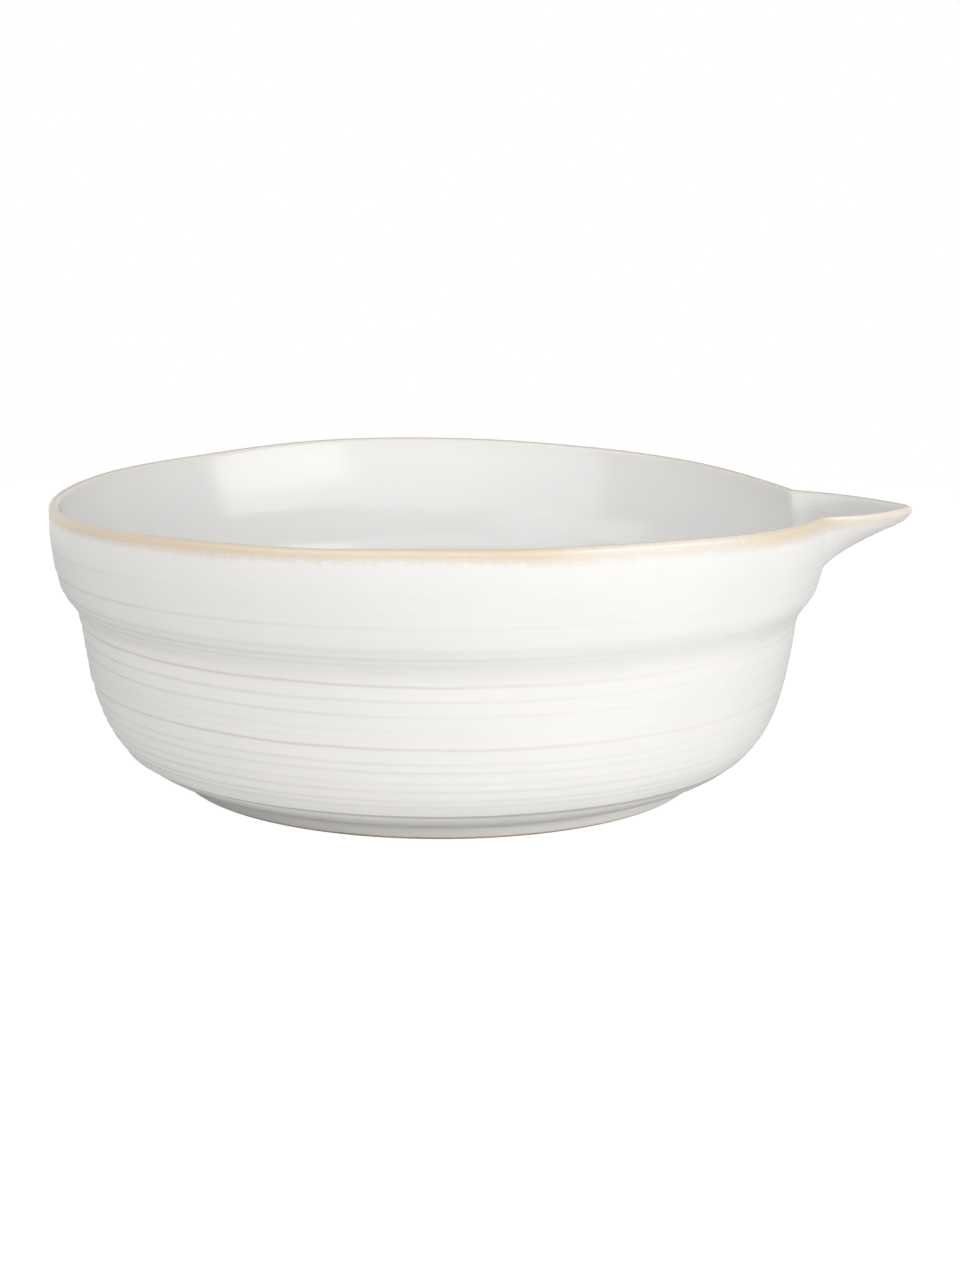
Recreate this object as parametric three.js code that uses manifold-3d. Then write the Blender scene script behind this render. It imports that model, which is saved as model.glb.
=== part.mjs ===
// Spouted stoneware bowl: a thrown wall with a stepped shoulder, a rim that dips in a gentle saddle,
// a beak of a spout set into a notch of the rim, a turned foot ring, and the glaze laid over them.
// Millimetres, +Z up. The bowl stands on z = 0 with its spout towards +X, and the origin lies
// under the middle of its plan, half the spout's reach away from the axis of the wheel.
import * as THREE from 'three';
import { mergeVertices } from 'three/addons/utils/BufferGeometryUtils.js';
import Module from 'manifold-3d';

// Rim
const RIM_RADIUS = 120;
const RIM_HEIGHT = 88.5; // mean height of the crest
const RIM_SADDLE = 2.3; // the crest dips this far by the spout and opposite it, and rises as far between
const RIM_SADDLE_TURN = 7; // degrees from the spout to the saddle's dip
const RIM_TILT = 0.8; // the whole crest leans down by this much on one side
const RIM_TILT_TURN = 45; // degrees from the spout to the lowest side
const RIM_RIPPLE = 0.4; // three shallow lobes left by the hand
const RIM_RIPPLE_TURN = 14; // degrees from the spout to a lobe's dip
const LIP_THICKNESS = 1.4; // clay at the crest
const LIP_DEPTH = 4; // upright band below the crest, and how far the outer dip laps inside

// Collar, shoulder step and neck, as the glazed outside is seen
const SHOULDER_RADIUS = 117.3;
const SHOULDER_HEIGHT = 64.3;
const SHOULDER_ANGLE = 72; // degrees from level
const NECK_RADIUS = 111;
const NECK_HEIGHT = 51.7;
const NECK_ANGLE = 83; // degrees from level
const COLLAR_HANDLE = 7; // how far each curve holds the direction of its end
const STEP_HANDLE = 5;
const NECK_HANDLE = 26;
const BELLY_HANDLE = 23.5;
const BELLY_ANGLE = 12.5; // degrees from level, where the belly leaves the foot

// Throwing rings on the belly, one below the other from the neck down
const RING_PITCH = 6.4; // lift of the hand in one turn of the wheel
const RING_DEPTH = 0.3; // each band of wall overhangs the one below it by this much
const RING_LEDGE = 0.8; // height of the overhang's slope

// Foot ring
const FOOT_RADIUS = 81; // at the table
const FOOT_FLARE = 1.4; // the glazed side of the foot leans out by this much
const FOOT_HEIGHT = 4.2;
const FOOT_WIDTH = 8;
const FOOT_CHAMFER = 0.8;
const FOOT_BARE = 1.1; // height of the bare edge that the glaze stops at
const FOOT_FILLET = 1.4; // glaze pooled in the corner under the floor

// Walls, coats and joints
const WALL = 4.2; // clay below the neck
const FLOOR = 4.6; // clay at the floor
const GLAZE = 0.5;
const SEAM = 0.3; // slip in a clay joint, and the bond line under a coat

// Spout
const SPOUT_REACH = 27.5; // from the rim's circle to the tip
const SPOUT_WIDTH = 63; // across the two creases at the crest
const SPOUT_BASE = 65.6; // height at which the keel leaves the wall
const SPOUT_FULLNESS = 0.7; // below 1 the sides of the beak bulge, and the crease gets sharper
const SPOUT_CREASE = 2; // the crease is rounded over this width on each side
const CHANNEL_RISE = 0.8; // how much higher the channel starts, for each millimetre inside the keel
const NOTCH_LAND = 2.5; // plain wall that the spout's piece keeps around its root

// Facets
const BELLY_STEPS = 6;
const SHOULDER_STEPS = 3;
const COLLAR_STEPS = 5;
const CREST_STEPS = 4;
const SPOUT_COLUMNS = 6; // on each side of the keel
const ROUND_COLUMNS = 42; // round the rest of the bowl
const ROOT_SHARE = 0.35; // how far the spout's columns close up below its root
const NOTCH_STEPS = 10;

const COAT = SEAM + GLAZE;
const CREST_BASE = RIM_HEIGHT - COAT - LIP_THICKNESS / 2; // where the upright lip starts to round over
const UNDERSIDE = FOOT_HEIGHT + COAT; // clay underside of the floor
const FLOOR_TOP = UNDERSIDE + FLOOR;
const SPOUT_HALF_ANGLE = Math.asin(SPOUT_WIDTH / 2 / RIM_RADIUS);
const CREASE_SHARE = SPOUT_CREASE / (SPOUT_WIDTH / 2);

const wasm = await Module();
wasm.setup();

const stoneware = { color: '#c9ac84', roughness: 0.85, metalness: 0 };
const whiteGlaze = { color: '#f0eee8', roughness: 0.25, metalness: 0 };
const linerGlaze = { color: '#e6e6e2', roughness: 0.2, metalness: 0 };

// A place on a section: radius and height as thrown, and how far it lies inside the seen surface.
function place(radius, height, inset) {
  return { radius, height, inset };
}

// A curve's handle: a length along a direction given in degrees from level.
function handle(point, degrees, length) {
  const angle = THREE.MathUtils.degToRad(degrees);
  return new THREE.Vector2(point.x + length * Math.cos(angle), point.y + length * Math.sin(angle));
}

// The seen outside of the thrown wall, from the foot's cove to where the lip rounds over.
function wallLine() {
  const cove = new THREE.Vector2(FOOT_RADIUS + FOOT_FLARE, FOOT_HEIGHT);
  const neck = new THREE.Vector2(NECK_RADIUS, NECK_HEIGHT);
  const shoulder = new THREE.Vector2(SHOULDER_RADIUS, SHOULDER_HEIGHT);
  const lip = new THREE.Vector2(RIM_RADIUS, CREST_BASE - LIP_DEPTH);
  const belly = new THREE.CubicBezierCurve(
    cove,
    handle(cove, BELLY_ANGLE, BELLY_HANDLE),
    handle(neck, NECK_ANGLE, -NECK_HANDLE),
    neck,
  );
  const step = new THREE.CubicBezierCurve(
    neck,
    handle(neck, NECK_ANGLE, STEP_HANDLE),
    handle(shoulder, SHOULDER_ANGLE, -STEP_HANDLE),
    shoulder,
  );
  const collar = new THREE.CubicBezierCurve(
    shoulder,
    handle(shoulder, SHOULDER_ANGLE, COLLAR_HANDLE),
    handle(lip, 90, -COLLAR_HANDLE),
    lip,
  );
  return [
    ...belly.getPoints(BELLY_STEPS),
    ...step.getPoints(SHOULDER_STEPS).slice(1),
    ...collar.getPoints(COLLAR_STEPS).slice(1),
    new THREE.Vector2(RIM_RADIUS, CREST_BASE),
  ];
}

// The clay gets thinner from the neck to the lip.
function clayThickness(height) {
  const share = THREE.MathUtils.smoothstep(height, NECK_HEIGHT, CREST_BASE - LIP_DEPTH);
  return THREE.MathUtils.lerp(WALL, LIP_THICKNESS, share);
}

// A line moved inwards, square to itself and mitred at its corners.
function insetLine(line, depthAt) {
  const normals = line.slice(1).map((end, i) => {
    const along = end.clone().sub(line[i]).normalize();
    return new THREE.Vector2(along.y, -along.x);
  });
  return line.map((point, i) => {
    const before = normals[Math.max(i - 1, 0)];
    const after = normals[Math.min(i, normals.length - 1)];
    const depth = depthAt(point.y);
    const mitre = before.clone().add(after).multiplyScalar(depth / (1 + before.dot(after)));
    return place(point.x - mitre.x, point.y - mitre.y, depth);
  });
}

// The half-round over the lip, from the outside to the inside, a distance away from the clay.
function crest(clearance) {
  const middle = RIM_RADIUS - COAT - LIP_THICKNESS / 2;
  const bend = LIP_THICKNESS / 2 + clearance;
  const points = [];
  for (let i = 1; i < CREST_STEPS; i += 1) {
    const angle = (Math.PI * i) / CREST_STEPS;
    const radius = middle + bend * Math.cos(angle);
    points.push(place(radius, CREST_BASE + bend * Math.sin(angle), RIM_RADIUS - radius));
  }
  return points;
}

// An inner face of the wall, from the lip down to the floor, a distance away from the clay.
function innerFace(clearance) {
  const depthAt = (height) => COAT + clayThickness(height) + clearance;
  const face = insetLine(wallLine(), depthAt).reverse();
  face.forEach((point) => {
    point.height = Math.max(point.height, FLOOR_TOP + clearance);
  });
  return face;
}

// An outer face of the wall, from the foot to the lip, a distance inside the seen surface.
function outerFace(inset) {
  return insetLine(wallLine(), () => inset);
}

// The same face with the glazed side of the foot ring below it.
function glazedFace(inset) {
  const lean = FOOT_FLARE / FOOT_HEIGHT;
  const edge = new THREE.Vector2(FOOT_RADIUS + lean * FOOT_BARE, FOOT_BARE);
  const face = insetLine([edge, ...wallLine()], () => inset);
  face[0].height = FOOT_BARE;
  return face;
}

// How far a height's band of wall lies inside the face without rings.
function ringInset(height) {
  const lifts = (NECK_HEIGHT - height) / RING_PITCH;
  const ledge = RING_LEDGE / RING_PITCH;
  const share = lifts - Math.floor(lifts);
  const isPlain = height >= NECK_HEIGHT || height < FOOT_HEIGHT + RING_PITCH;
  return isPlain ? 0 : RING_DEPTH * Math.min(share / ledge, (1 - share) / (1 - ledge));
}

// The seen face with its rings: a row at the top and the foot of each ledge.
function ringedFace() {
  const face = glazedFace(0);
  const rows = new Set(face.map((point) => point.height));
  for (let top = NECK_HEIGHT; top >= FOOT_HEIGHT + RING_PITCH; top -= RING_PITCH) {
    rows.add(top);
    rows.add(top - RING_LEDGE);
  }
  return [...rows].sort((a, b) => a - b).map((height) => {
    const next = Math.max(face.findIndex((point) => point.height >= height), 1);
    const [below, above] = [face[next - 1], face[next]];
    const share = (height - below.height) / (above.height - below.height);
    const inset = ringInset(height);
    return place(THREE.MathUtils.lerp(below.radius, above.radius, share) - inset, height, inset);
  });
}

// Height of the crest over its mean, round the bowl.
function rimRise(angle) {
  const wave = (lobes, turn) => Math.cos(lobes * (angle - THREE.MathUtils.degToRad(turn)));
  const dip = RIM_SADDLE * wave(2, RIM_SADDLE_TURN) + RIM_TILT * wave(1, RIM_TILT_TURN);
  return -dip - RIM_RIPPLE * wave(3, RIM_RIPPLE_TURN);
}

// How far up the spout a place lies, from 0 at its base to 1 at the crest.
function spoutClimb(point) {
  const base = SPOUT_BASE + point.inset * CHANNEL_RISE;
  return THREE.MathUtils.clamp((point.height - base) / (RIM_HEIGHT - base), 0, 1);
}

// The columns of facets close in on the spout's creases, which meet at its base.
function columnAngles(climb) {
  const half = SPOUT_HALF_ANGLE * (1 + CREASE_SHARE) * Math.max(Math.sqrt(climb), ROOT_SHARE);
  const angles = [];
  for (let i = -SPOUT_COLUMNS; i <= SPOUT_COLUMNS; i += 1) {
    angles.push(half * Math.sin((Math.PI / 2) * (i / SPOUT_COLUMNS)));
  }
  for (let i = 1; i < ROUND_COLUMNS; i += 1) {
    angles.push(half + (2 * Math.PI - 2 * half) * (i / ROUND_COLUMNS));
  }
  return angles;
}

// How far the spout is pulled out of the round wall at an angle from its keel.
function spoutPull(angle, climb) {
  const across = Math.abs(angle) / (SPOUT_HALF_ANGLE * Math.sqrt(climb));
  if (climb === 0 || across >= 1 + CREASE_SHARE) {
    return 0;
  }
  const isFlank = across < 1 - CREASE_SHARE;
  const share = isFlank ? 1 - across : (1 + CREASE_SHARE - across) ** 2 / (4 * CREASE_SHARE);
  return SPOUT_REACH * THREE.MathUtils.smoothstep(climb, 0, 1) * share ** SPOUT_FULLNESS;
}

// One ring of a turned section, altered by hand: the rim dips and the spout is pulled.
function ring(point) {
  const climb = spoutClimb(point);
  const sway = THREE.MathUtils.smoothstep(point.height, NECK_HEIGHT, RIM_HEIGHT);
  return columnAngles(climb).map((angle) => {
    const turned = THREE.MathUtils.euclideanModulo(angle + Math.PI, 2 * Math.PI) - Math.PI;
    const radius = point.radius + spoutPull(turned, climb);
    const height = point.height + sway * rimRise(angle);
    return new THREE.Vector3(radius * Math.cos(angle), radius * Math.sin(angle), height);
  });
}

// Facets are split the other way on the half beyond the keel, so that both flanks are alike.
function isFarHalf(column) {
  return column >= SPOUT_COLUMNS && column < 2 * SPOUT_COLUMNS + ROUND_COLUMNS / 2;
}

// A solid turned from a section that runs with its clay on the left and closes, or meets the axis.
function turn(section) {
  const vertices = [];
  const rings = section.map((point) => {
    const corners = point.radius > 0 ? ring(point) : [new THREE.Vector3(0, 0, point.height)];
    const first = vertices.length;
    vertices.push(...corners);
    return corners.map((corner, i) => first + i);
  });
  const triangles = [];
  rings.forEach((low, i) => {
    const high = rings[(i + 1) % rings.length];
    const columns = Math.max(low.length, high.length);
    for (let column = 0; column < columns; column += 1) {
      const next = (column + 1) % columns;
      const [a, b] = [low[column % low.length], low[next % low.length]];
      const [c, d] = [high[column % high.length], high[next % high.length]];
      const pair = isFarHalf(column) ? [[a, b, d], [a, d, c]] : [[a, b, c], [b, d, c]];
      const whole = pair.filter((corners) => new Set(corners).size === 3);
      triangles.push(...whole.flat());
    }
  });
  const geometry = new THREE.BufferGeometry().setFromPoints(vertices);
  geometry.setIndex(triangles);
  return geometry;
}

function toSolid(geometry) {
  const bare = geometry.clone();
  bare.deleteAttribute('normal');
  bare.deleteAttribute('uv');
  const merged = mergeVertices(bare);
  const vertProperties = new Float32Array(merged.attributes.position.array);
  const triVerts = new Uint32Array(merged.index.array);
  return new wasm.Manifold(new wasm.Mesh({ numProp: 3, vertProperties, triVerts }));
}

function toGeometry(solid) {
  const mesh = solid.getMesh();
  const geometry = new THREE.BufferGeometry();
  geometry.setAttribute('position', new THREE.BufferAttribute(mesh.vertProperties, 3));
  geometry.setIndex(new THREE.BufferAttribute(mesh.triVerts, 1));
  return geometry;
}

// The thrown wall and floor with the spout still in one with them.
function clayForm() {
  return turn([
    place(0, UNDERSIDE, 0),
    ...outerFace(COAT).map((point) => place(point.radius, Math.max(point.height, UNDERSIDE), COAT)),
    ...crest(0),
    ...innerFace(0),
    place(0, FLOOR_TOP, 0),
  ]);
}

// The block that parts the spout from the wall: a rounded notch, grown by a clearance.
function notchBlock(clearance) {
  const halfWidth = SPOUT_WIDTH / 2 + NOTCH_LAND + clearance;
  const depth = RIM_HEIGHT - SPOUT_BASE + NOTCH_LAND + clearance;
  const top = RIM_HEIGHT + SPOUT_WIDTH;
  const outline = new THREE.Shape();
  outline.absellipse(0, RIM_HEIGHT, halfWidth, depth, Math.PI, 2 * Math.PI);
  outline.lineTo(halfWidth, top);
  outline.lineTo(-halfWidth, top);
  const length = RIM_RADIUS + 2 * SPOUT_REACH;
  const block = new THREE.ExtrudeGeometry(outline, {
    depth: length,
    bevelEnabled: false,
    curveSegments: NOTCH_STEPS,
  });
  const across = new THREE.Vector3(0, 1, 0);
  const up = new THREE.Vector3(0, 0, 1);
  const outwards = new THREE.Vector3(1, 0, 0);
  return block.applyMatrix4(new THREE.Matrix4().makeBasis(across, up, outwards));
}

function footRing() {
  const outer = FOOT_RADIUS - COAT;
  const inner = outer - FOOT_WIDTH;
  const top = UNDERSIDE - SEAM;
  const lean = FOOT_FLARE / FOOT_HEIGHT;
  return turn([
    place(inner + FOOT_CHAMFER, 0, 0),
    place(outer - FOOT_CHAMFER, 0, 0),
    place(outer + lean * FOOT_CHAMFER, FOOT_CHAMFER, 0),
    place(outer + lean * top, top, 0),
    place(inner, top, 0),
    place(inner, FOOT_CHAMFER, 0),
  ]);
}

function outerGlaze() {
  const lapped = (clearance) => innerFace(clearance).slice(0, 2);
  return turn([
    ...ringedFace(),
    ...crest(COAT),
    ...lapped(COAT),
    ...lapped(SEAM).reverse(),
    ...crest(SEAM).reverse(),
    ...glazedFace(GLAZE).reverse(),
  ]);
}

function innerGlaze() {
  const poured = (clearance) => {
    const face = innerFace(clearance).slice(1);
    face[0].height -= SEAM;
    return face;
  };
  return turn([
    place(0, FLOOR_TOP + SEAM, 0),
    ...poured(SEAM).reverse(),
    ...poured(COAT),
    place(0, FLOOR_TOP + COAT, 0),
  ]);
}

function baseGlaze() {
  const bond = FOOT_RADIUS - COAT - FOOT_WIDTH - SEAM;
  const face = bond - GLAZE;
  return turn([
    place(0, FOOT_HEIGHT, 0),
    place(face - FOOT_FILLET, FOOT_HEIGHT, 0),
    place(face, FOOT_HEIGHT - FOOT_FILLET, 0),
    place(face, FOOT_BARE, 0),
    place(bond, FOOT_BARE, 0),
    place(bond, UNDERSIDE - SEAM, 0),
    place(0, UNDERSIDE - SEAM, 0),
  ]);
}

const bowl = new THREE.Group();
bowl.position.x = -SPOUT_REACH / 2;

function addPiece(name, geometry, finish) {
  geometry.computeVertexNormals();
  const mesh = new THREE.Mesh(geometry, new THREE.MeshStandardMaterial(finish));
  mesh.name = name;
  bowl.add(mesh);
}

const clay = toSolid(clayForm());
addPiece('bowl_body', toGeometry(clay.subtract(toSolid(notchBlock(SEAM)))), stoneware);
addPiece('spout', toGeometry(clay.intersect(toSolid(notchBlock(0)))), stoneware);
addPiece('foot_ring', footRing(), stoneware);
addPiece('outer_glaze', outerGlaze(), whiteGlaze);
addPiece('inner_glaze', innerGlaze(), linerGlaze);
addPiece('base_glaze', baseGlaze(), whiteGlaze);

export default bowl;
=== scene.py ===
import math

import bpy
import numpy as np
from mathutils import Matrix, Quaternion, Vector


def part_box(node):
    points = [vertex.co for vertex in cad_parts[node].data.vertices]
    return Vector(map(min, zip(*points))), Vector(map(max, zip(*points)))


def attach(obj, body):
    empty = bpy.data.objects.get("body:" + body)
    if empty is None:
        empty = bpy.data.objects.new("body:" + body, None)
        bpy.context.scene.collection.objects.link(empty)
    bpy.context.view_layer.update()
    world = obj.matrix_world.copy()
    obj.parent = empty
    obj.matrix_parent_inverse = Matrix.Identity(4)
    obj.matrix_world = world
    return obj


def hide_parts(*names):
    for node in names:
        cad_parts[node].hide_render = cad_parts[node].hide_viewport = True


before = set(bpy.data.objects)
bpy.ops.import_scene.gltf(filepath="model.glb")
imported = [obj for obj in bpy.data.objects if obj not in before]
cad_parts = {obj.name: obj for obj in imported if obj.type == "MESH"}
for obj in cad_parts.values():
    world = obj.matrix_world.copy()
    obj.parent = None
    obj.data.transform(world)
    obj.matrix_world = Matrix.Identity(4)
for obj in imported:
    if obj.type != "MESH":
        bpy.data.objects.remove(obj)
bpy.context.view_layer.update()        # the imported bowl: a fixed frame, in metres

bl_info = {
    "name": "Spouted Bowl",
    "version": (1, 0, 0),
    "blender": (4, 5, 0),
    "location": "View3D > Sidebar > Bowl",
    "description": "Models and glazes a thrown stoneware bowl with a pulled spout",
    "category": "Object",
}

FOOT_LOW, FOOT_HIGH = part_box("foot_ring")
AXIS_X = (FOOT_LOW.x + FOOT_HIGH.x) / 2  # the wheel's axis stands here, on y = 0
BOX_CLEARANCE = 0.00005  # keeps the outside within the box of the solids
RIM_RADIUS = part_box("outer_glaze")[1].y - BOX_CLEARANCE

# Fineness of the modelled meshes
FINE_LINE = 0.0001  # step of the lines that the sections are worked out on
DRAWN_WITHIN = 0.00001  # how far a drawn point may be from where it should be
SAME_POINT = 0.000005  # points this close together are one
CURVE_POINTS = 240
COLUMNS = 288  # round the walls
FOOT_COLUMNS = 180  # round the foot and the base
SPOUT_COLUMN_SHARE = 0.42  # of all columns, set close together across the spout
SPOUT_COLUMN_SPREAD = 1.3  # how far past the creases these reach
SPOUT_COLUMN_BUNCH = 1.45  # above one, they close up towards the tip
ROW = 0.00065  # along the outside
RING_ROW = 0.0003  # by a ring's ledge
RING_ROW_REACH = 0.0015
INNER_ROW = 0.0011  # along the inside
HIDDEN_ROW = 0.004  # on the clay
CREST_ROWS = 14
EDGE_ROWS = 5
SMOOTH_ANGLE = math.radians(40)

# Throwing rings on the outside: height of each ledge, and its depth as a share of a full ring's
THROWING_RINGS = (
    (0.0760, 0.12), (0.0681, 0.4), (0.0620, 0.3), (0.0596, 0.5), (0.0577, 0.35),
    (0.0555, 0.15), (0.0517, 1.0), (0.0473, 0.6), (0.0430, 0.5), (0.0390, 0.2),
    (0.0361, 0.2), (0.0334, 1.0), (0.0288, 0.55), (0.0261, 0.55), (0.0227, 0.4),
    (0.0201, 0.65), (0.0170, 0.55), (0.0150, 0.45), (0.0114, 1.5),
)
TRIM_LINE = THROWING_RINGS[-1][0]  # the lowest ledge is where the trimming of the foot stopped

# Uneven waves round the bowl, by how often each goes up and down
STRENGTH_WAVES = (2, 5, 9)
WANDER_WAVES = (1, 4, 11, 23)
WAVER_WAVES = (3, 5, 8)

# Small bumps and dips that the hand left on the crest: degrees from the spout, and rise
RIM_WAVES = (
    (-156, -0.00030), (-128, 0.00030), (-104, -0.00030), (-94, 0.00002), (-80, -0.00050),
    (-54, 0.00005), (-42, -0.00010), (-31, 0.00010), (0, -0.00020), (26, -0.00030),
    (43, 0.00030), (70, -0.00045), (91, -0.00025), (112, 0.00020), (135, -0.00055),
    (156, 0.00015), (178, -0.00020),
)
RIM_WAVE_ROUND = 15  # degrees that they are rounded over

# The keel under the spout: share of the height that it climbs, and share of the reach there
KEEL = (
    (0.0, 0.0), (0.063, 0.012), (0.186, 0.075), (0.309, 0.19), (0.434, 0.345),
    (0.553, 0.513), (0.67, 0.7), (0.785, 0.905), (0.898, 0.995), (1.0, 1.0),
)
KEEL_ROUND = 0.12  # length of the table's line that its corners are rounded over
LEAST_CLIMB = 1e-9  # stands for no climb where a share is divided by it

# Grain of the finishes: cells per metre across a piece, and along its run or its height
CLOUD_GRAIN = (38.0, 60.0)
STREAK_GRAIN = (16.0, 1300.0)
HAIR_GRAIN = (700.0, 90.0)
DRIFT_GRAIN = (13.0, 6.0)
SKIN_GRAIN = (420.0, 420.0)
BLUSH_GRAIN = (45.0, 45.0)
GRIT_GRAIN = (1500.0, 1500.0)
TOOTH_GRAIN = (3200.0, 3200.0)

# Where the glaze changes, as runs from the crest, which are below nought on the inside
LAP_FADE = (-0.0045, -0.0005)  # the lap turns into the liner
CREST_FADE = (-0.0006, 0.0009)  # the inside's tan turns into the outside's
INNER_TAN = (-0.0062, -0.0012)
CREST_LINE = (-0.0011, -0.0005, 0.0, 0.0006)  # rise and fall of the darker line along the crest
# edge of the painted shade in the spout's channel
CHANNEL_SHADE_EDGE = (-0.003, -0.0008)
OUTSIDE = (0.0, 0.001)

# Where it changes along x, towards the spout, and in height about the trim line
FAINT_TAN = (0.01, 0.04, 0.065, 0.088)
SPOUT_TAN = (0.1, 0.11)
# start of the painted shade in the spout's channel
CHANNEL_SHADE_START = (0.098, 0.107)
# painted shade of the dark line under the trimming ledge
TRIM_SHADE = (-0.0012, -0.0003, 0.0, 0.0005)

# How much of each tint and painted shade shows where it is strongest
RIM_SHARE = 0.78
INSIDE_SHARE = 0.14
PAINTED_TRIM_SHADE_SHARE = 0.45
CHANNEL_SHADE_SHARE = 0.5
CREST_SHARE = 0.55

# Soft boxes: degrees to the right of the camera, degrees up, distance, width and height
LAMPS = {
    "key": (57.0, 10.0, 1.3, 1.15, 0.76),
    "front": (-12.0, 22.0, 2.8, 5.0, 2.0),
    "fill": (-60.0, 55.0, 1.5, 1.2, 1.0),
    "back": (180.0, 0.0, 1.0, 1.8, 0.07),
}
SENSOR_WIDTH = 36.0  # millimetres
PAINTED_SHADE_MAT_FADE = (0.8, 1.3)  # shares of the painted shade mat's radius over which it turns into the floor
WHITE_FADE = (0.3, 0.7)  # distances from the wheel's axis between which the floor turns white
SEEN_RAYS = ("Is Camera Ray", "Is Glossy Ray", "Is Transmission Ray")


def length(name, description, default):
    """A size in metres."""
    return bpy.props.FloatProperty(
        name=name, description=description, default=default, precision=5, subtype="DISTANCE", unit="LENGTH"
    )


def turn(name, description, degrees):
    """An angle, written in degrees."""
    return bpy.props.FloatProperty(
        name=name, description=description, default=math.radians(degrees), subtype="ANGLE", unit="ROTATION"
    )


def factor(name, description, default, top=1.0):
    """A plain number from nothing up to a top."""
    return bpy.props.FloatProperty(
        name=name, description=description, default=default, min=0.0, max=top, subtype="FACTOR"
    )


def colour(name, description, default):
    """A linear colour."""
    return bpy.props.FloatVectorProperty(
        name=name, description=description, default=default, min=0.0, max=1.0, size=3, subtype="COLOR"
    )


def watts(name, description, default):
    """The power of a lamp."""
    return bpy.props.FloatProperty(
        name=name, description=description, default=default, min=0.0, subtype="POWER", unit="POWER"
    )


class BowlSizes(bpy.types.PropertyGroup):
    """Sizes of the thrown form, with the outside measured on the glaze"""

    rim_radius: length("Rim radius", "From the wheel's axis to the outside of the rim", RIM_RADIUS)
    rim_height: length("Rim height", "Mean height of the crest", 0.08845)
    rim_saddle: length("Rim saddle", "Dip of the crest by the spout and opposite it", 0.0023)
    saddle_turn: turn("Saddle turn", "From the spout to the saddle's dip", 7)
    rim_tilt: length("Rim tilt", "How far the crest leans down on one side", 0.0008)
    tilt_turn: turn("Tilt turn", "From the spout to the lowest side", 45)
    rim_ripple: length("Rim ripple", "Three shallow lobes left by the hand", 0.0004)
    ripple_turn: turn("Ripple turn", "From the spout to a lobe's dip", 14)
    lip_thickness: length("Lip thickness", "Clay at the crest", 0.0014)
    lip_depth: length("Lip depth", "Upright band below the crest, and the outer dip's lap inside", 0.004)
    lip_lean: turn("Lip lean", "How far the inside of the collar leans out more than the outside", 8)
    shoulder_radius: length("Shoulder radius", "Where the step ends and the collar starts", 0.1173)
    shoulder_height: length("Shoulder height", "Height of that line", 0.0643)
    shoulder_angle: turn("Shoulder angle", "Slope of the wall there, from level", 75)
    neck_radius: length("Neck radius", "Where the belly ends and the step starts", 0.111)
    neck_height: length("Neck height", "Height of that line", 0.0517)
    neck_angle: turn("Neck angle", "Slope of the wall there, from level", 83)
    collar_hold: length("Collar hold", "How far the collar keeps the direction of its ends", 0.006)
    step_hold: length("Step hold", "How far the step keeps the direction of its ends", 0.005)
    neck_hold: length("Neck hold", "How far the belly keeps the neck's direction", 0.026)
    belly_hold: length("Belly hold", "How far the belly keeps its direction at the foot", 0.0225)
    belly_angle: turn("Belly angle", "Slope of the belly at the foot, from level", 12.5)
    foot_radius: length("Foot radius", "Outside of the foot ring at the table", 0.081)
    foot_flare: length("Foot flare", "How far the foot's glazed side leans out", 0.0014)
    foot_height: length("Foot height", "From the table to the glazed floor inside the ring", 0.0042)
    foot_width: length("Foot width", "Width of the clay ring", 0.008)
    foot_round: length("Foot rounding", "Radius of the ring's lower edges", 0.0008)
    foot_bare: length("Bare edge", "Height of the clay that the glaze leaves bare", 0.0011)
    foot_fillet: length("Foot fillet", "Glaze pooled in the corner under the floor", 0.0014)
    cove_round: length("Cove rounding", "Width over which glaze rounds the corner above the foot", 0.0016)
    floor_round: length("Floor rounding", "Width over which the wall turns into the floor", 0.012)
    wall: length("Wall", "Clay below the neck", 0.0042)
    floor: length("Floor", "Clay at the floor", 0.0046)
    glaze: length("Glaze", "Thickness of a coat", 0.0005)
    bond: length("Bond", "Bond line between clay and coat", 0.0003)
    spout_reach: length("Spout reach", "From the rim's circle to the tip", -2 * AXIS_X)
    spout_width: length("Spout width", "Across the two creases at the crest", 0.063)
    spout_base: length("Spout base", "Height at which the keel leaves the wall", 0.0645)
    spout_fullness: factor("Spout fullness", "Below one, the sides of the beak bulge", 0.7)
    spout_crease: length("Spout crease", "Half the width that a crease is rounded over", 0.003)
    spout_nose: length("Spout nose", "Half the width that the tip is rounded over", 0.0008)
    channel_round: length("Channel rounding", "Half the width that the channel's foot is rounded over", 0.009)
    channel_rise: factor("Channel rise", "How much higher the channel starts, for its inset", 1.17, top=2.0)


class ThrowingMarks(bpy.types.PropertyGroup):
    """Marks that the fingers left on the outside"""

    depth: length("Depth", "Depth of a full ring, and the deepest that any ring cuts in", 0.00036)
    ledge: length("Ledge", "Half the height of a ring's ledge", 0.00045)
    swell: length("Swell", "How far a ring's swelling reaches along the wall", 0.002)
    wander: length("Wander", "How far a ring strays from level", 0.0003)
    waver: length("Waver", "How far the wall strays from round", 0.00012)
    faint: factor("Faintest", "Share of the depth on the side where the rings are faintest", 0.4)
    bold: factor("Boldest", "Share of the depth on the side where the rings are boldest", 3.0, top=5.0)
    bold_turn: turn("Bold turn", "From the spout to the side where the rings are boldest", -165)
    bold_focus: factor("Bold focus", "How closely the bold rings keep to that side", 2.5, top=9.0)
    unevenness: factor("Unevenness", "How much a ring changes on its way round", 0.35)


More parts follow.
